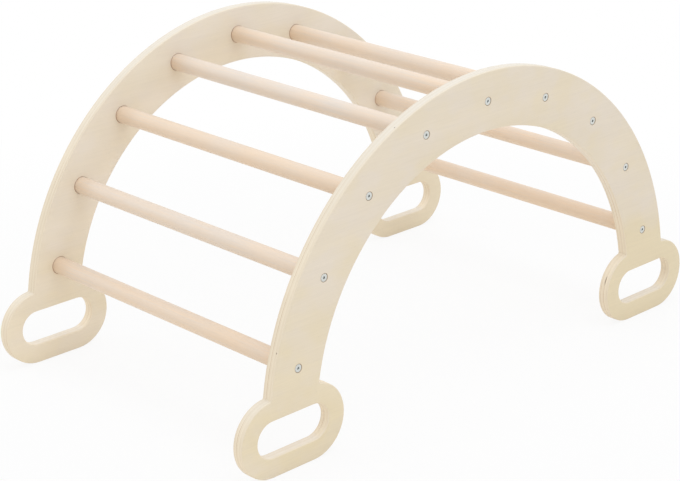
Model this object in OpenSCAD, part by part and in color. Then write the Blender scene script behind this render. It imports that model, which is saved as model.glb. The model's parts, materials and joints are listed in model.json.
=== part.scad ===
// Wooden rocker arch for children: two plywood side panels joined by round beech rungs.
// On its four hand-loop feet it is a climbing arch, and turned over it rocks on the arch.
// Millimetres, +Z up. The origin is on the floor, in the middle between the four feet.
// X runs along the span and Y from the front panel to the back panel.

/* [Arch] */
// Radius of the outer edge of the arch
arch_r = 450; // [420:5:550]
// Width of the plywood band that forms the arch
band_w = 93; // [80:1:110]

/* [Hand-loop feet] */
// Length of a foot along the span
foot_l = 200; // [180:5:240]
// Height of a foot
foot_h = 120; // [110:2:140]
// Width of the wood round the hand slot
loop_w = 31.5; // [26:0.5:36]

/* [Plywood panels] */
// Thickness of the plywood
panel_t = 18; // [16:1:25]
// Radius of the rounded edges
edge_r = 2; // [1:0.5:3]
// Radius of the inside corners between the arch and a foot
corner_r = 3; // [2:0.5:8]
// Clear width between the two panels
clear_w = 550; // [400:10:700]

/* [Rungs] */
// Number of rungs
rung_count = 9; // [5:1:11]
// Diameter of a rung
rung_d = 28; // [24:1:32]
// Angle of the lowest rungs above the centre line of the arch, in degrees
rung_start = 13.6; // [12.6:0.2:20]
// Width of the chamfer on a rung's ends
rung_chamfer = 1; // [0.5:0.5:2]
// Depth of the blind socket that holds a rung's end
socket_depth = 8; // [5:0.5:10]
// Gap round a rung in its socket
socket_gap = 0.5; // [0.2:0.1:0.8]

/* [Screws] */
// Length of a screw
screw_l = 50; // [40:5:70]
// Diameter of the head
head_d = 12; // [9:0.5:14]
// Height of the straight rim round the head
head_rim = 0.5; // [0.3:0.1:0.8]
// Depth of the head below the panel's outer face
head_recess = 0.5; // [0.3:0.1:2]
// Diameter of the smooth shank in the panel
shank_d = 7; // [6:0.5:8]
// Diameter of the threaded length in the rung, at the root of its thread
thread_d = 5; // [4:0.5:6]
// Length of the tapered tip
tip_l = 4; // [2:0.5:8]
// Diameter of the tip's end
tip_d = 1.5; // [1:0.5:3]
// Width of the hexagon socket across its flats
hex_af = 4; // [3:0.5:5]
// Depth of the hexagon socket
hex_depth = 3; // [2:0.5:4]
// Gap between a screw and the wood round it
screw_gap = 0.1; // [0.1:0.1:0.3]
// Length of the pilot bore that is left free beyond the tip
pilot_spare = 3; // [1:1:6]

/* [Hidden] */
$fn = 96;
// Flats that a rounded edge is made of
edge_steps = 4;
// How far a cut runs past the face that it opens
over = 1;
// How deep the rounding of an inside corner is sunk into the arch and the foot at its ends
corner_sink = 0.1;
plywood = [0.91, 0.85, 0.73];
beech = [0.89, 0.77, 0.64];
zinc = [0.72, 0.73, 0.75];

// The arch's centre is on the middle line of the feet, and the feet are below its band.
centre_z = foot_h / 2;
inner_r = arch_r - band_w;
middle_r = arch_r - band_w / 2;
foot_cap_x = (foot_l - foot_h) / 2;
loop_r = foot_h / 2 - loop_w / 2;
corner_off = corner_r - corner_sink;
// The band ends inside the wood above the hand slot.
band_end = asin(loop_r / middle_r);

// Each rung stands in the floor of its two sockets.
rung_l = clear_w + 2 * socket_depth;
rung_pitch = (180 - 2 * rung_start) / (rung_count - 1);
socket_r = rung_d / 2 + socket_gap;

// Lengths along a screw are measured from the top of its head.
head_h = head_rim + (head_d - shank_d) / 2;
shank_l = panel_t - socket_depth - head_recess;
bore_r = shank_d / 2 + screw_gap;
mouth_r = head_d / 2 + screw_gap + head_recess + head_rim;
pilot_r = thread_d / 2 + screw_gap;
pilot_l = screw_l - shank_l + pilot_spare;

// Rungs count from -X to +X, at even angles on the middle of the band.
function rung_angle(k) = 180 - rung_start - (k - 1) * rung_pitch;
function rung_x(k) = middle_r * cos(rung_angle(k));
function rung_z(k) = centre_z + middle_r * sin(rung_angle(k));

// The middle, from the arch's centre, of the circle that rounds an inside corner. It lies at
// radius r, over the end of a foot that turns at cap_x, or over the foot's level top.
function corner_middle(r, cap_x, outer) =
    let (
        cap_r = foot_h / 2 + corner_off,
        x = (r ^ 2 - cap_r ^ 2 + cap_x ^ 2) / (2 * cap_x),
        on_cap = outer ? x > cap_x : x < cap_x
    )
    on_cap ? [x, sqrt(r ^ 2 - x ^ 2)] : [sqrt(r ^ 2 - cap_r ^ 2), cap_r];

// Section of the plywood: a strip w wide whose four edges are rounded.
module strip(w) {
    polygon([
        for (quarter = [0 : 3], step = [0 : edge_steps])
            let (
                angle = 90 * (quarter + step / edge_steps),
                side_x = quarter == 0 || quarter == 3 ? 1 : -1,
                side_y = quarter < 2 ? 1 : -1
            )
            [
                side_x * (w / 2 - edge_r) + edge_r * cos(angle),
                side_y * (panel_t / 2 - edge_r) + edge_r * sin(angle)
            ]
    ]);
}

// The strip bent round the Z axis, between two angles, with its middle at radius r.
module bend(r, w, from, to) {
    rotate_extrude(angle = to - from, start = from, $fn = 2 * $fn)
        translate([r, panel_t / 2])
            strip(w);
}

// Wood that rounds the inside corner above the foot on +X, outside or inside the arch.
module corner(outer) {
    cap_x = middle_r + (outer ? foot_cap_x : -foot_cap_x);
    middle = corner_middle(outer ? arch_r + corner_off : inner_r - corner_off, cap_x, outer);
    foot_x = outer ? min(middle.x, cap_x) : max(middle.x, cap_x);
    foot_angle = atan2(-middle.y, foot_x - middle.x);
    arch_angle = outer ? atan2(-middle.y, -middle.x) : atan2(middle.y, middle.x);
    reach = (corner_r + edge_r) / cos((arch_angle - foot_angle) / 2) + edge_r + over;
    translate(middle)
        bend((corner_r + reach) / 2, reach - corner_r, min(foot_angle, arch_angle),
            max(foot_angle, arch_angle));
}

// The obround loop of one foot, round its hand slot.
module hand_loop() {
    for (side = [-1, 1]) {
        translate([side * foot_cap_x, 0, 0])
            bend(loop_r, loop_w, -90 * side, 180 - 90 * side);
        translate([-foot_cap_x, side * loop_r, panel_t / 2])
            rotate([90, 0, 90])
                linear_extrude(2 * foot_cap_x)
                    strip(loop_w);
    }
}

// Socket, screw hole and countersink of one rung, as one stepped cut along the Z axis.
module rung_cut() {
    cone_h = mouth_r - bore_r;
    rotate_extrude()
        polygon([
            [0, -over], [socket_r, -over], [socket_r, socket_depth], [bore_r, socket_depth],
            [bore_r, panel_t - cone_h], [mouth_r + over, panel_t + over], [0, panel_t + over]
        ]);
}

// One side panel lying down, with its inner face on the XY plane and its span along X.
module panel_blank() {
    translate([0, centre_z, 0]) {
        bend(middle_r, band_w, band_end, 180 - band_end);
        for (flip = [0, 1])
            mirror([flip, 0, 0]) {
                translate([middle_r, 0, 0])
                    hand_loop();
                corner(true);
                corner(false);
            }
    }
}

module panel() {
    color(plywood)
        translate([0, -clear_w / 2, 0])
            rotate([90, 0, 0])
                difference() {
                    panel_blank();
                    for (k = [1 : rung_count])
                        translate([rung_x(k), rung_z(k), 0])
                            rung_cut();
                }
}

module front_panel() {
    panel();
}

module back_panel() {
    rotate([0, 0, 180])
        panel();
}

// A rung with chamfered ends and a pilot bore in each end.
module rung(k) {
    color(beech)
        translate([rung_x(k), 0, rung_z(k)])
            rotate([90, 0, 0])
                difference() {
                    rotate_extrude()
                        polygon([
                            [0, -rung_l / 2], [rung_d / 2 - rung_chamfer, -rung_l / 2],
                            [rung_d / 2, rung_chamfer - rung_l / 2],
                            [rung_d / 2, rung_l / 2 - rung_chamfer],
                            [rung_d / 2 - rung_chamfer, rung_l / 2], [0, rung_l / 2]
                        ]);
                    for (side = [-1, 1])
                        translate([0, 0, side * (rung_l / 2 + (over - pilot_l) / 2)])
                            cylinder(h = pilot_l + over, r = pilot_r, center = true);
                }
}

// A connector screw along +Z, with its head's top on the XY plane and its thread left plain.
module screw() {
    difference() {
        rotate_extrude()
            polygon([
                [0, 0], [head_d / 2, 0], [head_d / 2, head_rim], [shank_d / 2, head_h],
                [shank_d / 2, shank_l], [thread_d / 2, shank_l], [thread_d / 2, screw_l - tip_l],
                [tip_d / 2, screw_l], [0, screw_l]
            ]);
        translate([0, 0, -over])
            cylinder(h = hex_depth + over, d = hex_af / cos(30), $fn = 6);
    }
}

// The two screws of a rung, one through each panel.
module rung_screws(k) {
    for (side = [-1, 1])
        color(zinc)
            translate([rung_x(k), side * (clear_w / 2 + panel_t - head_recess), rung_z(k)])
                rotate([side * 90, 0, 0])
                    screw();
}

front_panel();
back_panel();
for (k = [1 : rung_count]) {
    rung(k);
    rung_screws(k);
}
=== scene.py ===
"""Wooden rocker arch for children: the looks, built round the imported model.

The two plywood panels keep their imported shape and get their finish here. The beech rungs and
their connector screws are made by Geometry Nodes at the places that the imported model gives.
"""

import json
import math

import bpy
from mathutils import Color, Matrix, Vector

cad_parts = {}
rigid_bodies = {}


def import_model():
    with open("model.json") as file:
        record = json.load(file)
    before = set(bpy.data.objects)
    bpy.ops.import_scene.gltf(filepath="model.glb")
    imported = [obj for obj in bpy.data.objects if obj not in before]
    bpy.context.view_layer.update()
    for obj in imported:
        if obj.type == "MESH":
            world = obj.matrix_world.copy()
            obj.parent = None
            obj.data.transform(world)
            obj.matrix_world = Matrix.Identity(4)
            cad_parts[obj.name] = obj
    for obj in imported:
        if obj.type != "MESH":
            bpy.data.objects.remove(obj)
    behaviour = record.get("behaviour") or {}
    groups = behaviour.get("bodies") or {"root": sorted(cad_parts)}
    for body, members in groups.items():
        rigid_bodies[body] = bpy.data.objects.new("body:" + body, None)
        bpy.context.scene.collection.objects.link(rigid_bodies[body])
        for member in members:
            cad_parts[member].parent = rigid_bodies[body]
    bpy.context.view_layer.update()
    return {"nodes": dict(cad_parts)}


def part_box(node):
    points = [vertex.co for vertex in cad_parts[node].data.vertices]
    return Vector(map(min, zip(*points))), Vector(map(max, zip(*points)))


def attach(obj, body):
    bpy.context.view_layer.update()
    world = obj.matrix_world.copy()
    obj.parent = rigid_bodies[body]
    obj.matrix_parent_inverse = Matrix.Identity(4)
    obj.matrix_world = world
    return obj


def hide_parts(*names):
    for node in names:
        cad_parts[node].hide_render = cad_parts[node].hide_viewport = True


bl_info = {
    "name": "Wooden rocker arch",
    "version": (1, 0, 0),
    "blender": (4, 5, 0),
    "location": "3D View > Sidebar > Rocker arch",
    "description": "Plywood panels, turned beech rungs and connector screws of a rocker arch",
    "category": "Object",
}

for leftover in list(bpy.data.objects):
    bpy.data.objects.remove(leftover)
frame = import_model()
BODY = "root"
PANELS = ("front_panel", "back_panel")
RUNG_COUNT = sum(name.endswith("_screws") for name in frame["nodes"])
RUNG_NUMBERS = range(1, RUNG_COUNT + 1)

MM = 0.001
MERGE = 1e-6  # points nearer than this are one point
CREASE = math.radians(35)  # faces that meet at more than this meet in a sharp edge
PLACE_SLACK = 0.2 * MM  # how far a piece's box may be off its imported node's box


def linear(red, green, blue):
    """A colour written as it looks on a screen, 0 to 255, as the numbers that Blender keeps."""
    return tuple(
        c / 255 / 12.92 if c <= 10 else ((c / 255 + 0.055) / 1.055) ** 2.4
        for c in (red, green, blue)
    )


def middle(node):
    """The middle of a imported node's box."""
    low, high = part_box(node)
    return (low + high) / 2


def arch_of_rungs():
    """The circle that the rungs' axes stand on: its radius, its centre's height and the lowest
    rung's angle above the level through the centre."""
    low, top = middle("rung_1"), middle(f"rung_{(RUNG_COUNT + 1) // 2}")
    centre = (low.x**2 + low.z**2 - top.z**2) / (2 * (low.z - top.z))
    radius = top.z - centre
    return radius, centre, math.asin((low.z - centre) / radius)


PANEL_LOW, PANEL_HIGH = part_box("back_panel")
PANEL_T = PANEL_HIGH.y - PANEL_LOW.y
CLEAR_W = 2 * PANEL_LOW.y
ARCH_RADIUS, ARCH_CENTRE, FIRST_ANGLE = arch_of_rungs()
RUNG_PITCH = (math.pi - 2 * FIRST_ANGLE) / (RUNG_COUNT - 1)
BAND_W = 93 * MM
BAND_OUTER, BAND_INNER = ARCH_RADIUS + BAND_W / 2, ARCH_RADIUS - BAND_W / 2
FOOT_X = ARCH_RADIUS  # the middle of a foot is below the middle of the band
SLOT_STRAIGHT = 80 * MM  # length of a hand slot between its round ends
RUNG_SIZE, SCREW_SIZE = (high - low for low, high in map(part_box, ("rung_1", "rung_1_screws")))
SOCKET_DEPTH = (RUNG_SIZE.y - CLEAR_W) / 2
SOCKET_RADIUS = RUNG_SIZE.x / 2 + 0.5 * MM
HEAD_RECESS = PANEL_HIGH.y - SCREW_SIZE.y / 2
SHANK_L = PANEL_T - SOCKET_DEPTH - HEAD_RECESS  # from the head's top to the rung's end
SCREW_L = 50 * MM
BORE_L = SCREW_L - SHANK_L + 3 * MM  # 3 mm stay free beyond a screw's tip

# What every tree that sets a piece on the arch is told about the arch
ARCH_INPUTS = {
    "Arch radius": ARCH_RADIUS,
    "Arch centre height": ARCH_CENTRE,
    "First angle": FIRST_ANGLE,
    "Rung count": RUNG_COUNT,
}


# ----- Writing node trees


def both_ways(operation):
    """Two methods of a term that do this with it and another value: the term first, or last."""
    return (
        lambda term, other: term.wiring.math(operation, term, other),
        lambda term, other: term.wiring.math(operation, other, term),
    )


class Term:
    """A number in a node tree. Sums with it add Math nodes, so a rule reads as a formula."""

    def __init__(self, wiring, socket):
        self.wiring, self.socket = wiring, socket

    __add__, __radd__ = both_ways("ADD")
    __sub__, __rsub__ = both_ways("SUBTRACT")
    __mul__, __rmul__ = both_ways("MULTIPLY")
    __truediv__, __rtruediv__ = both_ways("DIVIDE")

    def __neg__(self):
        return self.wiring.math("MULTIPLY", self, -1)

    def __abs__(self):
        return self.wiring.math("ABSOLUTE", self)


class Wiring:
    """Adds nodes to one node tree and links them."""

    def __init__(self, tree):
        self.tree = tree

    def feed(self, socket, value):
        """Links a socket to a value from the tree, or sets it to a plain one."""
        value = value.socket if isinstance(value, Term) else value
        if isinstance(value, bpy.types.NodeSocket):
            self.tree.links.new(value, socket)
        else:
            socket.default_value = value

    def add(self, kind, inputs=None, **settings):
        """A new node with these inputs and settings."""
        node = self.tree.nodes.new(kind)
        for name, value in settings.items():
            setattr(node, name, value)
        for name, value in (inputs or {}).items():
            self.feed(node.inputs[name], value)
        return node

    def term(self, kind, inputs=None, output=0, **settings):
        """The number that a new node gives."""
        return Term(self, self.add(kind, inputs, **settings).outputs[output])

    def math(self, operation, *values):
        """What a new Math node makes of these values."""
        node = self.add("ShaderNodeMath", operation=operation)
        for socket, value in zip(node.inputs, values):
            self.feed(socket, value)
        return Term(self, node.outputs[0])

    def greater(self, first, second):
        """The greater of two numbers."""
        return self.math("MAXIMUM", first, second)

    def length(self, first, second):
        """The length of a way with these two parts at right angles."""
        return self.math("SQRT", first * first + second * second)

    def vector(self, x=0.0, y=0.0, z=0.0):
        """A vector of three numbers."""
        return self.add("ShaderNodeCombineXYZ", {"X": x, "Y": y, "Z": z}).outputs[0]

    def parts(self, vector):
        """The three numbers of a vector."""
        node = self.add("ShaderNodeSeparateXYZ", {"Vector": vector})
        return [Term(self, socket) for socket in node.outputs]


class ShapeWiring(Wiring):
    """Adds the nodes of a Geometry Nodes tree that has an input for each of the named values."""

    KINDS = {float: "Float", int: "Int", bpy.types.Material: "Material"}

    def __init__(self, name, values, takes_mesh=False):
        tree = bpy.data.node_groups.new(name, "GeometryNodeTree")
        tree.is_modifier = True
        super().__init__(tree)
        shape = {"name": "Geometry", "socket_type": "NodeSocketGeometry"}
        tree.interface.new_socket(in_out="OUTPUT", **shape)
        if takes_mesh:
            tree.interface.new_socket(in_out="INPUT", **shape)
        for label, value in values.items():
            kind = "NodeSocket" + self.KINDS[type(value)]
            tree.interface.new_socket(label, in_out="INPUT", socket_type=kind)
        source = self.add("NodeGroupInput")
        self.inputs = {s.name: Term(self, s) for s in source.outputs if s.name}
        self.sink = self.add("NodeGroupOutput")

    def shape(self, kind, inputs=None, **settings):
        """Adds a node and gives its first output, the changed geometry."""
        return self.add(kind, inputs, **settings).outputs[0]

    def join(self, *shapes):
        """Several shapes as one."""
        node = self.add("GeometryNodeJoinGeometry")
        for shape in shapes:
            self.tree.links.new(shape, node.inputs[0])
        return node.outputs[0]

    def merged(self, mesh):
        """The mesh with its doubled points made one."""
        return self.shape("GeometryNodeMergeByDistance", {"Geometry": mesh, "Distance": MERGE})

    def circle(self, segments, radius):
        """A round curve, or one with that many corners."""
        inputs = {"Resolution": segments, "Radius": radius}
        return self.shape("GeometryNodeCurvePrimitiveCircle", inputs)

    def choose(self, index, values):
        """The value that stands at that index in a list."""
        node = self.add("GeometryNodeIndexSwitch", data_type="FLOAT")
        while len(node.index_switch_items) < len(values):
            node.index_switch_items.new()
        self.feed(node.inputs["Index"], index)
        for place, value in enumerate(values):
            self.feed(node.inputs[place + 1], value)
        return Term(self, node.outputs[0])

    def turned(self, profile, segments):
        """A shape turned round the Z axis, through the (radius, height) points of its profile.
        Where the profile goes up, the faces look away from the axis."""
        points = len(profile)
        index = self.term("GeometryNodeInputIndex")
        row = self.math("MODULO", index, points)
        angle = (index - row) / points * (math.tau / segments)
        radius, height = (self.choose(row, values) for values in zip(*profile))
        place = self.vector(
            radius * self.math("COSINE", angle), radius * self.math("SINE", angle), height
        )
        counts = {"Vertices X": segments + 1, "Vertices Y": points}
        grid = self.shape("GeometryNodeMeshGrid", counts)
        moved = self.shape("GeometryNodeSetPosition", {"Geometry": grid, "Position": place})
        return self.merged(moved)

    def creased(self, mesh):
        """Smooth shading, except over edges sharper than the crease angle."""
        sharp = self.math("GREATER_THAN", self.term("GeometryNodeInputMeshEdgeAngle"), CREASE)
        inputs = {"Mesh": mesh, "Remove Custom": True, "Edge Sharpness": sharp}
        inputs["Face Sharpness"] = False
        return self.shape("GeometryNodeSetMeshNormal", inputs, mode="SHARPNESS")

    def kept(self, name, vector, mesh):
        """Stores a vector on the mesh's points, for a material to read."""
        inputs = {"Geometry": mesh, "Name": name, "Value": vector}
        kind = "GeometryNodeStoreNamedAttribute"
        return self.shape(kind, inputs, data_type="FLOAT_VECTOR", domain="POINT")

    def place_on_arch(self):
        """Where the rung of that number stands: across the span, and above the floor."""
        given = self.inputs
        pitch = (math.pi - given["First angle"] * 2) / (given["Rung count"] - 1)
        angle = math.pi - given["First angle"] - (given["Rung number"] - 1) * pitch
        return (
            given["Arch radius"] * self.math("COSINE", angle),
            given["Arch centre height"] + given["Arch radius"] * self.math("SINE", angle),
        )

    def instances(self, count, place, shape, rotation):
        """The shape, set that often at these places and turned like this."""
        points = self.shape("GeometryNodePoints", {"Count": count, "Position": place})
        inputs = {"Points": points, "Instance": shape, "Rotation": rotation}
        return self.shape("GeometryNodeInstanceOnPoints", inputs)

    def finish(self, mesh):
        """Ends the tree: real geometry with its material."""
        real = self.shape("GeometryNodeRealizeInstances", {"Geometry": mesh})
        inputs = {"Geometry": real, "Material": self.inputs["Material"]}
        self.feed(self.sink.inputs[0], self.shape("GeometryNodeSetMaterial", inputs))
        return self.tree


def sizes(settings, keys):
    """These sizes as inputs of a tree, where head_rim is the input Head rim."""
    return {key.replace("_", " ").capitalize(): getattr(settings, key) for key in keys.split()}


def set_inputs(modifier, values):
    """Sets a Geometry Nodes modifier's inputs by their names."""
    for item in modifier.node_group.interface.items_tree:
        if item.item_type == "SOCKET" and item.in_out == "INPUT" and item.name in values:
            modifier[item.identifier] = values[item.name]


def new_object(name, data):
    """A new object in the scene."""
    thing = bpy.data.objects.new(name, data)
    bpy.context.scene.collection.objects.link(thing)
    return thing


def made_by_tree(name, tree, values):
    """A new object whose plain mesh is what the tree makes of these values."""
    piece = new_object(name, bpy.data.meshes.new(name))
    modifier = piece.modifiers.new("Shape", "NODES")
    modifier.node_group = tree
    set_inputs(modifier, values)
    graph = bpy.context.evaluated_depsgraph_get()
    mesh = bpy.data.meshes.new_from_object(piece.evaluated_get(graph))
    piece.modifiers.clear()
    piece.data = mesh
    mesh.name = name
    if not mesh.polygons:
        raise RuntimeError(f"the tree {tree.name} made no faces for {name}")
    return piece


def stand_for(piece, node):
    """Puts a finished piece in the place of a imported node, after a look at its size."""
    for corner, reached in zip(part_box(node), (min, max)):
        for axis in range(3):
            made, packed = reached(v.co[axis] for v in piece.data.vertices), corner[axis]
            if abs(made - packed) > PLACE_SLACK:
                raise RuntimeError(f"{piece.name} reaches {made:.4f} m, and {node} {packed:.4f} m")
    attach(piece, BODY)
    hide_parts(node)


# ----- Finishes

# How many times a metre each pattern of the plywood varies, along X, Y and Z or every way
FACE_FIBRE, CROSS_FIBRE = (14, 900, 420), (420, 900, 14)
FIGURE, PATCH, FLECK = (2.2, 30, 26), (16, 22, 28), (160, 900, 1100)
CLOUD, WANDER, GLUE_GAPS = 11.0, 5.0, 9.0
PATCH_START = (0.37, 0.11, 0.23)  # where in the pattern of patches the sheet begins

# The same for the beech, twice across a rung and then along it, and for the zinc
BEECH_BEND, BEECH_CLOUD = (6, 6, 1.5), (45, 45, 11)
BEECH_FIBRE, BEECH_FLECK = (1500, 1500, 22), (1100, 1100, 150)
ZINC_WAVER, ZINC_GRIME = 900.0, 700.0

RING_BEND = 12 * MM  # how far the beech's year rings stray from round
TURNING_PITCH = 0.25 * MM  # between the rings that turning leaves on a screw head
PLYWOOD_RELIEF, BEECH_RELIEF, ZINC_RELIEF = 0.06 * MM, 0.05 * MM, 0.01 * MM
RELIEF_STRENGTH = 0.5
VOIDS = (  # middle and reach of each small hole in the front panel's edges
    ((0.3087, -0.2850, 0.0845), (5.0 * MM, 0.9 * MM, 9.0 * MM)),
    ((-0.1942, -0.2889, 0.4659), (1.4 * MM, 0.8 * MM, 1.2 * MM)),
    ((-0.4309, -0.2906, 0.1896), (1.2 * MM, 0.9 * MM, 1.6 * MM)),
)


class Finish(Wiring):
    """The node tree of a new material, ready for its patterns."""

    def __init__(self, name):
        self.material = bpy.data.materials.new(name)
        self.material.use_nodes = True
        super().__init__(self.material.node_tree)
        self.shader = self.tree.nodes["Principled BSDF"]

    def object_place(self):
        """The place in the object's own frame."""
        return self.add("ShaderNodeTexCoord").outputs["Object"]

    def stored(self, name):
        """A vector that is stored on the mesh."""
        return self.add("ShaderNodeAttribute", attribute_name=name).outputs["Vector"]

    def vectors(self, operation, first, second):
        """What a new Vector Math node makes of two vectors."""
        inputs = {0: first, 1: second}
        return self.add("ShaderNodeVectorMath", inputs, operation=operation).outputs[0]

    def vector_length(self, vector):
        """How long a vector is."""
        return self.term("ShaderNodeVectorMath", {0: vector}, output=1, operation="LENGTH")

    def noise(self, vector, scale, detail=2.0, roughness=0.5):
        """Even noise from 0 to 1 with its middle at 0.5."""
        inputs = {"Vector": vector, "Scale": scale, "Detail": detail, "Roughness": roughness}
        return self.term("ShaderNodeTexNoise", inputs)

    def grain(self, vector, per_metre, detail=3.0, roughness=0.6):
        """Noise drawn out along the wood, which varies so often a metre along each axis."""
        return self.noise(self.vectors("MULTIPLY", vector, per_metre), 1.0, detail, roughness)

    def ease(self, value, start, end, low=0.0, high=1.0):
        """Goes smoothly from low to high as the value goes from start to end."""
        inputs = {"Value": value, "From Min": start, "From Max": end, "To Min": low, "To Max": high}
        return self.term("ShaderNodeMapRange", inputs, interpolation_type="SMOOTHSTEP")

    def blend(self, factor, first, second):
        """Two colours mixed: the first at 0, the second at 1."""
        node = self.add("ShaderNodeMix", data_type="RGBA")
        for socket, value in ((0, factor), (6, first), (7, second)):
            value = (*value, 1.0) if isinstance(value, Color) else value
            self.feed(node.inputs[socket], value)
        return node.outputs[2]

    def tinted(self, colour, amount):
        """A colour made lighter or darker: 1 leaves it as it is."""
        inputs = {0: colour, "Scale": amount}
        return self.add("ShaderNodeVectorMath", inputs, operation="SCALE").outputs[0]

    def relief(self, height, depth):
        """Bump from a height of 0 to 1, depth metres deep."""
        inputs = {"Strength": RELIEF_STRENGTH, "Distance": depth, "Height": height}
        self.feed(self.shader.inputs["Normal"], self.add("ShaderNodeBump", inputs).outputs[0])

    def done(self, colour, roughness, **plain):
        """Ends the material with its colour, its roughness and plain values of the shader."""
        self.feed(self.shader.inputs["Base Color"], colour)
        self.feed(self.shader.inputs["Roughness"], roughness)
        for name, value in plain.items():
            self.shader.inputs[name.replace("_", " ")].default_value = value
        return self.material


class Plywood(Finish):
    """Birch plywood under clear lacquer, with painted light and painted shade in its colour. Its
    grain follows from the place in the sheet: the plies lie at their depths, and their fibres run
    along X or, in every second ply, along Z."""

    def __init__(self, settings):
        super().__init__("Birch plywood")
        self.settings = settings
        self.place = self.object_place()
        self.x, self.y, self.z = self.parts(self.place)
        self.rise = self.z - ARCH_CENTRE
        self.from_centre = self.length(self.x, self.rise)
        self.in_back = self.math("GREATER_THAN", self.y, 0.0)

        self.ply, self.depth, self.inside = self.plies()
        self.wave = self.math("SINE", self.ply * math.pi)
        # 1 in a ply that lies across, 0 in the others
        self.cross = self.ease(self.wave, -0.1, 0.1) * self.inside

        self.normal = self.parts(self.add("ShaderNodeNewGeometry").outputs["Normal"])
        self.level = abs(self.normal[2])
        self.on_face = self.ease(abs(self.normal[1]), 0.80, 0.99)
        self.edge = 1 - self.on_face
        self.rounded = self.ease(abs(self.normal[1]), 0.05, 0.4) * self.edge
        self.in_slot = self.near_slot()

        self.face_fibre = self.grain(self.place, FACE_FIBRE)
        cross_fibre = self.grain(self.place, CROSS_FIBRE)
        self.fibre = self.face_fibre + (cross_fibre - self.face_fibre) * self.cross
        self.figure = self.grain(self.place, FIGURE, roughness=0.55)
        self.cloud = self.noise(self.place, CLOUD)

    def plies(self):
        """Which ply a place is in, counted from the outer one, its depth below the panel's outer
        face, and whether it is among the inner plies. The plies wander, as real ones do."""
        settings = self.settings
        sag = (self.noise(self.place, WANDER) - 0.5) * (2 * settings.ply_wander)
        depth = CLEAR_W / 2 + settings.sheet_thickness - abs(self.y) + sag
        inner_plies = settings.plies - 2
        inner_t = (settings.sheet_thickness - 2 * settings.face_veneer) / inner_plies
        ply = (depth - settings.face_veneer) / inner_t
        off_middle = abs(ply - inner_plies / 2)
        return ply, depth, self.math("LESS_THAN", off_middle, inner_plies / 2 + 0.2)

    def near_slot(self):
        """1 on the edges round the hand slots."""
        off_foot = abs(abs(self.x) - FOOT_X)
        past_straight = self.greater(off_foot - SLOT_STRAIGHT / 2, 0.0)
        return self.ease(self.length(past_straight, self.rise), 36 * MM, 40 * MM, 1, 0)

    def glue(self):
        """Glue lines come and go along an edge, and hardly show where it lies level. On one half
        of a panel the outer side of each cross ply shows most, on the other its inner side."""
        outer_line = self.math("COSINE", self.ply * math.pi) * 0.5 + 0.5
        right_half = self.ease(self.x, -60 * MM, 60 * MM)
        shown = outer_line * right_half + (1 - outer_line) * (1 - right_half)
        strongest = self.ease(self.ply, 1.2, 1.9, 0.15, 1.0)
        strongest = strongest - self.ease(self.ply, 3.3, 3.7, 0.0, 0.35)
        patchy = self.ease(self.noise(self.place, GLUE_GAPS), 0.3, 0.6, 0.35, 1.0)
        line = self.ease(abs(self.wave), 0.08, 0.42, 1, 0) * self.inside * self.edge
        upright = self.ease(self.level, 0.45, 0.95, 1.0, 0.15)
        return line * (shown * 0.85 + 0.15) * strongest * patchy * upright

    def face_colour(self):
        """The faces turn yellower in clouds, in patches and near the feet, and the back panel's
        less so than the front one's, as painted light that makes up for the back panel's shade."""
        patch = self.grain(self.vectors("ADD", self.place, PATCH_START), PATCH, 2.0, 0.5)
        height = self.z + self.x * 0.03 + (self.cloud - 0.5) * 0.08
        near_feet = self.ease(height, 210 * MM, 140 * MM)
        near_feet = near_feet * self.ease(self.x, -200 * MM, 200 * MM, 0.45, 1.0)
        patches = self.ease(self.cloud, 0.62, 0.36, 0.0, 0.3)
        patches = patches + self.ease(patch, 0.60, 0.40, 0.0, 0.28)
        yellow = self.math("MINIMUM", near_feet + patches, 1.0) * (1 - self.in_back * 0.35)
        return self.blend(yellow, self.settings.face_colour, self.settings.yellow_colour)

    def edge_colour(self):
        """Painted light: the edges are painted paler where they face up, as if lit from above, and
        inside the arch above the feet, where it lifts their shade. The plies that lie across have
        their own colour."""
        facing_up = self.normal[2]
        outside = self.ease(self.from_centre, BAND_OUTER - 8 * MM, BAND_OUTER - 4 * MM)
        above_feet = self.ease(self.z, 100 * MM, 160 * MM, 0.4, 1.0)
        # painted light: paler where the edge faces up and inside the arch above the feet
        pale = self.ease(facing_up, 0.5, 1.0) * outside * (1 - self.in_slot) * above_feet
        pale = self.greater(pale, self.ease(self.z, 150 * MM, 260 * MM) * (1 - outside))
        pale = pale * (1 - self.rounded * 0.7)
        pale = self.greater(pale, self.ease(facing_up, 0.85, 1.0) * self.in_slot)
        colour = self.blend(pale, self.settings.edge_colour, self.settings.lit_level_colour)
        across = self.cross * self.ease(self.level, 0.2, 0.9, 0.8, 0.3)
        return self.blend(across, colour, self.settings.cross_colour)

    def tone(self):
        """How light the wood is: 1 leaves its colour as it is."""
        fleck = self.ease(self.grain(self.place, FLECK, 1.0, 0.5), 0.70, 0.80)

        # How squarely the surface cuts the fibres of the ply that it shows
        side = abs(self.normal[0])
        end_grain = side + (self.level - side) * self.cross

        # Painted light: the panels' inner faces are painted a little lighter towards the arch's
        # inner edge, to lift the shade under the rungs.
        thickness = self.settings.sheet_thickness
        inner_face_light = self.ease(self.depth, thickness - 2 * MM, thickness - 1 * MM) * self.on_face
        towards = self.ease(self.from_centre, BAND_INNER, ARCH_RADIUS + 10 * MM, 1, 0)
        inner_face_light = inner_face_light * towards

        # Painted light: the edges inside the arch and round the hand slots are painted paler, and
        # more so where they face up, to lift their shade.
        inside_arch = self.ease(self.from_centre, BAND_INNER + 4 * MM, BAND_INNER + 8 * MM, 1, 0)
        shade_lifted_edge = self.greater(self.in_slot, inside_arch) * self.edge
        facing_up = self.greater(self.normal[2], 0.0)
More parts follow.
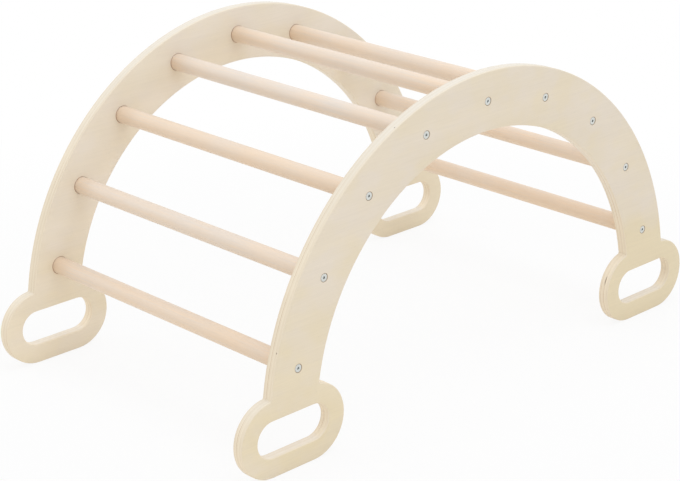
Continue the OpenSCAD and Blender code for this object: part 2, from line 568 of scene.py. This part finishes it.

        # Painted light: of the other edges, the front panel's that face -X are painted the
        # lightest, as if lit from the left.
        left_edge_light = self.edge * self.ease(self.normal[0], -0.6, -0.95)
        left_edge_light = left_edge_light * self.math("LESS_THAN", self.y, 0.0) * (1 - shade_lifted_edge)
        return (
            1
            - self.x * 0.05
            + (self.fibre - 0.5) * 0.09
            + (self.figure - 0.5) * 0.08
            + (self.cloud - 0.5) * 0.03
            - fleck * self.on_face * 0.08
            - end_grain * self.edge * 0.02
            # painted light: the back panel is a little lighter, to make up for its shade behind the
            # front panel and the rungs
            + self.in_back * 0.025
            # painted light on the inner faces, under the rungs
            + inner_face_light * self.ease(self.z, 100 * MM, 200 * MM) * 0.06
            # painted light on the inner and slot edges, more where they face up
            + shade_lifted_edge * (1 - self.rounded * 0.7) * (facing_up * 0.05 + 0.09)
            # painted light on the edges that face -X
            + left_edge_light * 0.05
        )

    def round_screws(self, colour):
        """Painted shade: the wood is painted dark in the countersinks round the screw heads, for
        the shade in the gap round each head. It is painted brown round the rungs in their sockets,
        less so towards their tops, for the shade in each socket's gap."""
        settings = self.settings
        turn = self.math("ARCTAN2", self.rise, self.x) - FIRST_ANGLE
        nearest = self.greater(self.math("ROUND", turn / RUNG_PITCH), 0.0)
        nearest = self.math("MINIMUM", nearest, RUNG_COUNT - 1.0)
        off_turn = (turn - nearest * RUNG_PITCH) * ARCH_RADIUS
        off_radius = self.from_centre - ARCH_RADIUS
        from_axis = self.length(off_turn, off_radius)
        # painted shade in the gap round each screw head
        sink = self.ease(from_axis, settings.sink_radius - 0.3 * MM, settings.sink_radius, 0.7, 0.0)
        sink = sink * self.ease(self.depth, 4 * MM, 2 * MM)

        around = nearest * RUNG_PITCH + FIRST_ANGLE
        above = off_radius * self.math("SINE", around) + off_turn * self.math("COSINE", around)
        # painted shade in the gap round each rung, more on its lower side than its top
        socket = self.ease(from_axis, SOCKET_RADIUS, SOCKET_RADIUS + 0.6 * MM, 0.75, 0.0)
        socket = socket * (1 - sink) * self.ease(above, 4 * MM, 13 * MM, 1.0, 0.35)
        floor = PANEL_T - SOCKET_DEPTH
        socket = socket * self.ease(self.depth, floor - 2 * MM, floor - 1 * MM)
        colour = self.blend(sink, colour, settings.sink_shade_colour)
        return self.blend(socket, colour, settings.socket_shade_colour)

    def voids(self, colour):
        """Small holes, where a gap in an inner ply was cut open on an edge."""
        for spot, reach in VOIDS:
            way = self.vectors("SUBTRACT", self.place, spot)
            scaled = self.vectors("MULTIPLY", way, tuple(1 / half for half in reach))
            ragged = self.vector_length(scaled) + (self.face_fibre - 0.5) * 0.8
            hole = self.ease(ragged, 0.5, 1.2, 0.8, 0.0)
            colour = self.blend(hole, colour, self.settings.void_colour)
        return colour


def plywood_finish(settings):
    """The panels' material."""
    f = Plywood(settings)
    glue = f.glue()
    colour = f.blend(f.edge, f.face_colour(), f.edge_colour())
    colour = f.blend(glue * settings.glue_strength, colour, settings.glue_colour)
    colour = f.voids(f.round_screws(f.tinted(colour, f.tone())))
    f.relief(f.fibre + f.figure * 0.6 - glue * 0.5, PLYWOOD_RELIEF)
    roughness = settings.roughness + (f.fibre - 0.5) * 0.12 + f.edge * 0.08
    return f.done(colour, roughness, Specular_IOR_Level=0.45)


def beech_finish(settings):
    """Beech under clear lacquer. The pattern reads each rung's own place in the log."""
    f = Finish("Beech")
    place = f.stored("log_place")
    across, up, _ = f.parts(place)
    bend = (f.grain(place, BEECH_BEND, 2.0, 0.5) - 0.5) * RING_BEND
    from_pith = f.length(across, up) + bend
    ring = f.math("SINE", from_pith * (math.tau / settings.ring_width)) * 0.5 + 0.5
    late_wood = f.math("POWER", ring, 3.0)
    fibre = f.grain(place, BEECH_FIBRE)
    cloud = f.grain(place, BEECH_CLOUD)
    fleck = f.ease(f.grain(place, BEECH_FLECK, 1.0, 0.5), 0.62, 0.74)
    tone = 1 + (fibre - 0.5) * 0.14 + (cloud - 0.5) * 0.16 - late_wood * 0.05 - fleck * 0.10

    # A rung is warmer in clouds and near its ends. Painted shade: it is brown where it goes into
    # its sockets, for the shade in the socket's gap.
    off_middle = abs(f.parts(f.object_place())[1])
    warmth = f.term("ShaderNodeAttribute", output=2, attribute_name="warmth")
    warmth = warmth + f.ease(off_middle, CLEAR_W / 2 - 50 * MM, CLEAR_W / 2, 0.0, 0.5)
    warm = f.math("MINIMUM", f.ease(cloud, 0.35, 0.65, 0.0, 0.6) + warmth, 1.0)
    colour = f.blend(warm, settings.colour, settings.warm_colour)
    socket_end_shade = f.ease(off_middle, CLEAR_W / 2 - 0.1 * MM, CLEAR_W / 2 + 0.2 * MM, 0.0, 0.8)
    colour = f.blend(socket_end_shade, colour, settings.end_shade_colour)
    f.relief(fibre - fleck * 0.6, BEECH_RELIEF)
    roughness = settings.roughness + (fibre - 0.5) * 0.10
    return f.done(f.tinted(colour, tone), roughness, Specular_IOR_Level=0.4, Sheen_Weight=0.25)


def zinc_finish(settings):
    """Bright zinc plate over steel, with the faint rings that turning leaves on a head. Painted
    shade: it is painted darker down the sides of the hexagon socket than on the socket's floor."""
    f = Finish("Zinc plate")
    place = f.stored("lathe_place")
    across, up, along = f.parts(place)
    radius = f.length(across, up)
    rings = f.math("SINE", radius * (math.tau / TURNING_PITCH) + f.noise(place, ZINC_WAVER) * 2)
    grime = f.noise(place, ZINC_GRIME, 3.0)
    # painted shade down the sides of the hexagon socket
    deep = f.ease(along, -0.6 * MM, -0.1 * MM, 1, 0)
    deep = deep * f.ease(radius, 2.3 * MM, 2.7 * MM, 1, 0)
    deep = deep * f.ease(along, -2.5 * MM, -2.3 * MM, 0.2, 1.0)
    colour = f.blend(f.ease(grime, 0.4, 0.7), settings.colour, settings.dull_colour)
    colour = f.blend(deep, colour, settings.socket_shade_colour)
    f.relief(rings * 0.5 + 0.5, ZINC_RELIEF)
    return f.done(colour, settings.roughness + (grime - 0.5) * 0.2, Metallic=1.0)


# ----- What a user may change


def setting_kind(make, **form):
    """A function that makes a setting of one kind from its name, description and default."""
    return lambda name, description, default: make(
        name=name, description=description, default=default, **form
    )


a_size = setting_kind(bpy.props.FloatProperty, unit="LENGTH")
a_place = setting_kind(bpy.props.FloatVectorProperty, subtype="XYZ", unit="LENGTH")
an_angle = setting_kind(bpy.props.FloatProperty, subtype="ANGLE")
a_colour = setting_kind(bpy.props.FloatVectorProperty, subtype="COLOR")
a_share = setting_kind(bpy.props.FloatProperty, subtype="FACTOR", min=0, max=1)
a_power = setting_kind(bpy.props.FloatProperty, unit="POWER")


class PlywoodSettings(bpy.types.PropertyGroup):
    """Sizes and colours of the plywood panels."""

    sheet_thickness: a_size("Sheet thickness", "Thickness of the plywood", PANEL_T)
    plies: bpy.props.IntProperty(name="Plies", description="Veneers in the sheet", default=7, min=3)
    face_veneer: a_size("Face veneer", "Thickness of each outer veneer", 1.5 * MM)
    ply_wander: a_size("Ply wander", "How far the plies stray from their depth", 0.5 * MM)
    face_colour: a_colour("Face", "Colour of the birch faces", linear(225, 215, 201))
    yellow_colour: a_colour("Yellow face", "Colour of the yellower clouds", linear(226, 213, 184))
    edge_colour: a_colour("Edge", "Colour of the upright edges", linear(227, 215, 194))
    # Painted light: a whiter colour for edges that face up, as the light from above makes them look
    lit_level_colour: a_colour("Level edge", "Colour of edges that lie level", linear(223, 215, 202))
    cross_colour: a_colour("Cross plies", "Colour of plies that lie across", linear(219, 206, 184))
    glue_colour: a_colour("Glue lines", "Colour between the plies", linear(168, 128, 84))
    glue_strength: a_share("Glue strength", "How much the glue lines show", 0.85)
    # Painted shade: the colour that stands for the shade in the gap round a screw head
    sink_shade_colour: a_colour("Countersinks", "Colour of wood in a countersink", linear(140, 114, 84))
    sink_radius: a_size("Countersink", "Radius of the countersink round a screw head", 7.1 * MM)
    # Painted shade: the colour that stands for the shade in the gap round a rung
    socket_shade_colour: a_colour("Sockets", "Colour of wood in a rung's socket", linear(178, 118, 52))
    void_colour: a_colour("Voids", "Colour inside a hole in a ply", linear(96, 68, 44))
    roughness: a_share("Roughness", "Roughness of the lacquer", 0.46)


class RungSettings(bpy.types.PropertyGroup):
    """Sizes and colours of the beech rungs."""

    diameter: a_size("Diameter", "Diameter of a rung", RUNG_SIZE.x)
    length: a_size("Length", "Length with the ends in their sockets", RUNG_SIZE.y)
    chamfer: a_size("Chamfer", "Width of the chamfer on the ends", 1 * MM)
    bore_diameter: a_size("Pilot bore", "Diameter of the bore for a screw", 5.2 * MM)
    bore_length: a_size("Bore length", "Length of the bore for a screw", BORE_L)
    ring_width: a_size("Ring width", "Wood that the tree grew in a year", 2.4 * MM)
    colour: a_colour("Beech", "Colour of pale beech", linear(224, 212, 200))
    warm_colour: a_colour("Warm beech", "Colour of pinker beech", linear(229, 206, 181))
    # Painted shade: the colour that stands for the shade on a rung's end inside its socket
    end_shade_colour: a_colour("Ends", "Colour of the ends in their sockets", linear(176, 110, 46))
    roughness: a_share("Roughness", "Roughness of the lacquer", 0.48)


class ScrewSettings(bpy.types.PropertyGroup):
    """Sizes and colours of the connector screws."""

    head_diameter: a_size("Head", "Diameter of the head", SCREW_SIZE.x)
    head_rim: a_size("Rim", "Height of the straight rim", 0.5 * MM)
    recess: a_size("Recess", "Depth of the head below the panel's face", HEAD_RECESS)
    shank_diameter: a_size("Shank", "Diameter of the smooth shank", 7 * MM)
    shank_length: a_size("Shank length", "From the head's top to the thread", SHANK_L)
    root_diameter: a_size("Thread root", "Diameter at the thread's root", 5 * MM)
    crest_diameter: a_size("Thread crest", "Diameter over the thread", 6.4 * MM)
    pitch: a_size("Pitch", "Distance between two turns of the thread", 2.6 * MM)
    length: a_size("Length", "Length of a screw", SCREW_L)
    tip_length: a_size("Tip length", "Length of the tapered tip", 4 * MM)
    tip_diameter: a_size("Tip", "Diameter of the tip's end", 1.5 * MM)
    hex_width: a_size("Hexagon", "Width of the hexagon socket across its flats", 4 * MM)
    hex_depth: a_size("Hexagon depth", "Depth of the hexagon socket", 2.6 * MM)
    colour: a_colour("Zinc", "Colour of bright zinc", linear(226, 228, 224))
    dull_colour: a_colour("Dull zinc", "Colour of dull zinc", linear(202, 205, 200))
    # Painted shade: the colour that stands for the shade deep in the hexagon socket
    socket_shade_colour: a_colour("Socket", "Colour deep in the hexagon socket", linear(190, 194, 196))
    roughness: a_share("Roughness", "Roughness of the plating", 0.30)


class StageSettings(bpy.types.PropertyGroup):
    """The camera, the floor and the lamps."""

    azimuth: an_angle("Azimuth", "Camera's way round the object", math.radians(-43.56688))
    elevation: an_angle("Elevation", "Camera's angle above the level", math.radians(20.83051))
    roll: an_angle("Roll", "Camera's tilt about its view", math.radians(-0.72535))
    aim: a_place("Aim", "The point the camera looks at", (-0.3075092, -0.2923355, 0.3253436))
    distance: a_size("Distance", "From the camera to its aim", 2.7266807)
    lens: bpy.props.FloatProperty(
        name="Lens",
        description="Focal length on a 36 mm wide sensor, in millimetres",
        default=102.24,
        unit="CAMERA",
    )
    floor_size: a_size("Floor", "Side of the square floor", 40.0)
    floor_colour: a_colour(
        "Floor colour", "Colour of the floor as the camera sees it", (0.78, 0.775, 0.77)
    )
    bounce_colour: a_colour(
        "Bounce colour", "Colour of the light that the floor gives back", (0.95, 0.90, 0.82)
    )
    floor_white: a_share("Floor white", "Share of plain white in the floor as it is seen", 0.88)
    clear_radius: a_size("Shadow reach", "The floor is plain white further out than this", 1.3)
    sky: bpy.props.FloatProperty(
        name="Sky", description="Strength of the even light from all round", default=0.905
    )
    softbox_power: a_power("Softbox", "Power of the softbox overhead", 30)
    softbox_colour: a_colour("Softbox colour", "Colour of the softbox's light", (0.84, 0.91, 1.0))
    softbox_size: a_size("Softbox size", "Width of the round softbox", 2.4)
    softbox_place: a_place("Softbox place", "Where the softbox hangs", (0.1, -0.5, 3.1))
    fill_power: a_power("Fill lamp", "Power of the fill lamp behind, on the left", 6)
    fill_size: a_size("Fill lamp size", "Width of the round fill lamp", 1.6)
    fill_place: a_place("Fill lamp place", "Where the fill lamp hangs", (-1.6, 2.3, 1.7))


# ----- Operators


class ROCKER_OT_dress_panels(bpy.types.Operator):
    """Give the two plywood panels their finish and even shading"""

    bl_idname = "rocker.dress_panels"
    bl_label = "Dress the plywood panels"

    def execute(self, context):
        values = {"Material": plywood_finish(context.scene.rocker_plywood)}
        t = ShapeWiring("Even shading", values, takes_mesh=True)
        tree = t.finish(t.creased(t.merged(t.inputs["Geometry"])))
        for name in PANELS:
            panel = frame["nodes"][name]
            for slot in panel.material_slots:
                slot.material = values["Material"]
            modifier = panel.modifiers.new("Even shading", "NODES")
            modifier.node_group = tree
            set_inputs(modifier, values)
        return {"FINISHED"}


RUNG_SEGMENTS = 96  # flats round a rung
RUNG_SEED, RUNG_SEED_STEP = 4, 7
PITH_NEAREST, PITH_SPREAD = 50 * MM, 40 * MM  # how far from the log's pith the rungs were cut
LOG_STEP = 1.7  # metres along the log from one rung to the next
WARMTH = (0.45, 0.1, 0.55, 0.0, 0.3, 0.35, 0.5, 0.35, 0.5)  # how orange each rung is


class ROCKER_OT_turn_rungs(bpy.types.Operator):
    """Turn the beech rungs and set them on the arch"""

    bl_idname = "rocker.turn_rungs"
    bl_label = "Turn the rungs"

    @staticmethod
    def values(settings, finish, number):
        """What the tree is told for the rung of that number."""
        return {
            **sizes(settings, "length diameter chamfer bore_diameter bore_length"),
            **ARCH_INPUTS,
            "Rung number": number,
            "Warmth": WARMTH[number - 1],
            "Segments": RUNG_SEGMENTS,
            "Seed": RUNG_SEED,
            "Material": finish,
        }

    @staticmethod
    def rung(t):
        """A rung along the Z axis, with a bore in each end and chamfers whose edges are soft."""
        given = t.inputs
        half, radius, chamfer = given["Length"] / 2, given["Diameter"] / 2, given["Chamfer"]
        bore, bottom = given["Bore diameter"] / 2, given["Length"] / 2 - given["Bore length"]
        soft = chamfer * 0.3
        end = [
            (0.0, bottom),
            (bore, bottom),
            (bore, half),
            (radius - chamfer - soft, half),
            (radius - chamfer * 0.85, half - soft * 0.5),
            (radius - soft * 0.5, half - chamfer * 0.85),
            (radius, half - chamfer - soft),
        ]
        profile = [(r, -h) for r, h in end] + list(reversed(end))
        return t.creased(t.turned(profile, given["Segments"]))

    @staticmethod
    def place_in_log(t):
        """Each rung has its own place in the log: turned about its axis, away from the pith."""
        number = t.inputs["Rung number"]
        own = {"Seed": number * RUNG_SEED_STEP + t.inputs["Seed"]}
        chance = t.term("FunctionNodeRandomValue", own, output=1, data_type="FLOAT")
        x, y, z = t.parts(t.add("GeometryNodeInputPosition").outputs[0])
        cosine, sine = (t.math(name, chance * math.tau) for name in ("COSINE", "SINE"))
        across = x * cosine - y * sine + PITH_NEAREST + chance * PITH_SPREAD
        return t.vector(across, x * sine + y * cosine, z + number * LOG_STEP)

    def tree(self, values):
        """The tree that makes a rung and sets it in its place."""
        t = ShapeWiring("Rung", values)
        warmth = t.inputs["Warmth"]
        rung = t.kept("log_place", self.place_in_log(t), self.rung(t))
        rung = t.kept("warmth", t.vector(warmth, warmth, warmth), rung)
        across, up = t.place_on_arch()
        place, lying = t.vector(across, 0.0, up), (-math.pi / 2, 0.0, 0.0)
        return t.finish(t.instances(1, place, rung, lying))

    def execute(self, context):
        settings = context.scene.rocker_rungs
        finish = beech_finish(settings)
        tree = self.tree(self.values(settings, finish, 1))
        for number in RUNG_NUMBERS:
            values = self.values(settings, finish, number)
            piece = made_by_tree(f"beech_rung_{number}", tree, values)
            stand_for(piece, f"rung_{number}")
        return {"FINISHED"}


SCREW_SEGMENTS = 48  # flats round a screw
TURN_SEGMENTS = 20  # flats in one turn of its thread
HEX_SIDES, WEDGE_SIDES = 6, 3  # of the socket, and of the section of the thread
HEX_LIP = 0.25 * MM  # chamfer round the socket's mouth
SCREW_SEED, SCREW_SEED_STEP = 11, 5


class ROCKER_OT_make_screws(bpy.types.Operator):
    """Make the connector screws, two in each rung"""

    bl_idname = "rocker.make_screws"
    bl_label = "Make the connector screws"

    @staticmethod
    def values(settings, plywood, finish, number):
        """What the tree is told for the screws of one rung."""
        return {
            **sizes(settings, "head_diameter head_rim shank_diameter shank_length root_diameter"),
            **sizes(settings, "crest_diameter pitch length tip_length tip_diameter"),
            **sizes(settings, "hex_width hex_depth"),
            "Distance from the middle": CLEAR_W / 2 + plywood.sheet_thickness - settings.recess,
            **ARCH_INPUTS,
            "Rung number": number,
            "Segments": SCREW_SEGMENTS,
            "Seed": SCREW_SEED,
            "Material": finish,
        }

    @staticmethod
    def core(t):
        """A screw down from the XY plane, without its thread and with a hexagon socket."""
        given = t.inputs
        head, shank = given["Head diameter"] / 2, given["Shank diameter"] / 2
        root, length = given["Root diameter"] / 2, given["Length"]
        soft = given["Head rim"] * 0.5
        profile = [
            (0.0, -length),
            (given["Tip diameter"] / 2, -length),
            (root, given["Tip length"] - length),
            (root, -given["Shank length"]),
            (shank, -given["Shank length"]),
            (shank, shank - head - given["Head rim"]),
            (head, -given["Head rim"]),
            (head, -soft),
            (head - soft * 0.3, -soft * 0.3),
            (head - soft, 0.0),
        ]
        body = t.turned(profile, given["Segments"])
        corner, depth = given["Hex width"] / math.sqrt(3), given["Hex depth"]
        mouth, floor = (corner + HEX_LIP, 0.0), (0.0, corner * -0.2 - depth)
        socket = t.turned([mouth, (corner, -HEX_LIP), (corner, -depth), floor], HEX_SIDES)
        rim, hole = t.circle(given["Segments"], head - soft), t.circle(HEX_SIDES, corner + HEX_LIP)
        top = t.shape("GeometryNodeFillCurve", {"Curve": t.join(rim, hole)}, mode="TRIANGLES")
        return t.merged(t.join(body, socket, top))

    @staticmethod
    def thread(t):
        """The thread is a thin wedge wound round the root."""
        given = t.inputs
        root, tip = given["Root diameter"], given["Tip length"]
        wound = given["Length"] - given["Shank length"] - tip - given["Pitch"]
        inputs = {"Resolution": TURN_SEGMENTS, "Rotations": wound / given["Pitch"], "Height": wound}
        inputs |= {"Start Radius": root / 2, "End Radius": root / 2, "Reverse": False}
        path = t.shape("GeometryNodeCurveSpiral", inputs)
        wedge = t.circle(WEDGE_SIDES, (given["Crest diameter"] - root) / 2)
        inputs = {"Curve": path, "Profile Curve": wedge, "Fill Caps": True}
        ridge = t.shape("GeometryNodeCurveToMesh", inputs)
        down = t.vector(0.0, 0.0, tip - given["Length"])
        return t.shape("GeometryNodeTransform", {"Geometry": ridge, "Translation": down})

    def tree(self, values):
        """The tree that makes a rung's two screws, heads outwards, each at its own turn."""
        t = ShapeWiring("Connector screws", values)
        given = t.inputs
        screw = t.creased(t.join(self.core(t), self.thread(t)))
        screw = t.kept("lathe_place", t.add("GeometryNodeInputPosition").outputs[0], screw)
        across, up = t.place_on_arch()
        which = t.term("GeometryNodeInputIndex")
        side = which * 2 - 1
        place = t.vector(across, side * given["Distance from the middle"], up)
        pair = t.instances(2, place, screw, t.vector(side * (-math.pi / 2)))
        own = {"ID": which, "Seed": given["Rung number"] * SCREW_SEED_STEP + given["Seed"]}
        chance = t.term("FunctionNodeRandomValue", own, output=1, data_type="FLOAT")
        turn = t.vector(0.0, 0.0, chance * math.tau)
        inputs = {"Instances": pair, "Rotation": turn, "Local Space": True}
        return t.finish(t.shape("GeometryNodeRotateInstances", inputs))

    def execute(self, context):
        settings, plywood = context.scene.rocker_screws, context.scene.rocker_plywood
        finish = zinc_finish(settings)
        tree = self.tree(self.values(settings, plywood, finish, 1))
        for number in RUNG_NUMBERS:
            values = self.values(settings, plywood, finish, number)
            piece = made_by_tree(f"connector_screws_{number}", tree, values)
            stand_for(piece, f"rung_{number}_screws")
        return {"FINISHED"}


SENSOR_W = 36.0  # millimetres, as the lens is
CLIP_START, CLIP_END = 0.05, 100.0
WHITE = (1.0, 1.0, 1.0)


def seen_ray(wiring):
    """1 where the camera, or a shine or a clear piece that it looks at, sees a surface; else 0."""
    path = wiring.add("ShaderNodeLightPath").outputs
    shine = wiring.greater(path["Is Glossy Ray"], path["Is Transmission Ray"])
    return wiring.greater(path["Is Camera Ray"], shine)


class ROCKER_OT_set_stage(bpy.types.Operator):
    """Set up the floor, the lamps and the camera"""

    bl_idname = "rocker.set_stage"
    bl_label = "Set the stage"

    @staticmethod
    def floor_finish(settings):
        """A pale floor under the object that turns plain white further out, where it is seen."""
        f = Finish("Studio floor")
        seen = seen_ray(f)
        colour = f.blend(seen, settings.bounce_colour, settings.floor_colour)
        material = f.done(colour, 0.9, Specular_IOR_Level=0.1)
        away, clear = f.vector_length(f.object_place()), settings.clear_radius
        far = f.ease(away, clear * 0.5, clear, settings.floor_white, 1.0)
        white = f.add("ShaderNodeEmission")
        inputs = {0: far * seen, 1: f.shader.outputs[0], 2: white.outputs[0]}
        both = f.add("ShaderNodeMixShader", inputs)
        f.feed(f.tree.nodes["Material Output"].inputs["Surface"], both.outputs[0])
        return material

    def floor(self, settings):
        """One large square."""
        half = settings.floor_size / 2
        mesh = bpy.data.meshes.new("floor")
        corners = [(-half, -half, 0), (half, -half, 0), (half, half, 0), (-half, half, 0)]
        mesh.from_pydata(corners, [], [(0, 1, 2, 3)])
        mesh.materials.append(self.floor_finish(settings))
        floor = new_object("floor", mesh)

    @staticmethod
    def sky(settings):
        """Even white light from all round, which is seen as plain white."""
        world = bpy.data.worlds.new("Studio")
        world.use_nodes = True
        w = Wiring(world.node_tree)
        strength = seen_ray(w) * (1 - settings.sky) + settings.sky
        ground = world.node_tree.nodes["Background"]
        ground.inputs["Color"].default_value = (*WHITE, 1.0)
        w.feed(ground.inputs["Strength"], strength)
        return world

    @staticmethod
    def lamp(name, power, size, place, colour):
        """A round lamp that points at the middle of the floor."""
        data = bpy.data.lights.new(name, "AREA")
        data.shape, data.size, data.energy, data.color = "DISK", size, power, colour
        lamp = new_object(name, data)
        lamp.location = place
        lamp.rotation_euler = (-lamp.location).to_track_quat("-Z", "Y").to_euler()

    @staticmethod
    def camera(settings):
        """The camera, which looks at its aim from a distance."""
        data = bpy.data.cameras.new("camera")
        data.sensor_width, data.lens = SENSOR_W, settings.lens
        data.clip_start, data.clip_end = CLIP_START, CLIP_END
        camera = new_object("camera", data)
        a, e = settings.azimuth, settings.elevation
        back = Vector((math.sin(a) * math.cos(e), -math.cos(a) * math.cos(e), math.sin(e)))
        right = Vector((math.cos(a), math.sin(a), 0.0))
        up = back.cross(right)
        c, s = math.cos(settings.roll), math.sin(settings.roll)
        turned = Matrix((c * right + s * up, c * up - s * right, back)).transposed()
        place = Vector(settings.aim) + back * settings.distance
        camera.matrix_world = Matrix.LocRotScale(place, turned, None)
        return camera

    def execute(self, context):
        scene, s = context.scene, context.scene.rocker_stage
        self.floor(s)
        scene.world = self.sky(s)
        self.lamp("softbox", s.softbox_power, s.softbox_size, s.softbox_place, s.softbox_colour)
        self.lamp("fill lamp", s.fill_power, s.fill_size, s.fill_place, WHITE)
        scene.camera = self.camera(s)
        scene.view_settings.view_transform = "Standard"
        return {"FINISHED"}


class ROCKER_PT_sidebar(bpy.types.Panel):
    """The rocker arch's pieces and their sizes"""

    bl_idname = "ROCKER_PT_sidebar"
    bl_label = "Rocker arch"
    bl_space_type = "VIEW_3D"
    bl_region_type = "UI"
    bl_category = "Rocker arch"

    def draw(self, context):
        for name, (_, operator) in STEPS.items():
            box = self.layout.box()
            box.operator(operator.bl_idname)
            settings = getattr(context.scene, name)
            for key in settings.__annotations__:
                box.prop(settings, key)


STEPS = {  # the name of a step's settings in the scene, their group and the step's operator
    "rocker_plywood": (PlywoodSettings, ROCKER_OT_dress_panels),
    "rocker_rungs": (RungSettings, ROCKER_OT_turn_rungs),
    "rocker_screws": (ScrewSettings, ROCKER_OT_make_screws),
    "rocker_stage": (StageSettings, ROCKER_OT_set_stage),
}
CLASSES = [cls for pair in STEPS.values() for cls in pair] + [ROCKER_PT_sidebar]


def register():
    for cls in CLASSES:
        bpy.utils.register_class(cls)
    for name, (group, _) in STEPS.items():
        setattr(bpy.types.Scene, name, bpy.props.PointerProperty(type=group))


def unregister():
    for name in STEPS:
        delattr(bpy.types.Scene, name)
    for cls in reversed(CLASSES):
        bpy.utils.unregister_class(cls)


def main():
    register()
    bpy.ops.rocker.dress_panels()
    bpy.ops.rocker.turn_rungs()
    bpy.ops.rocker.make_screws()
    bpy.ops.rocker.set_stage()


if __name__ == "__main__":
    main()
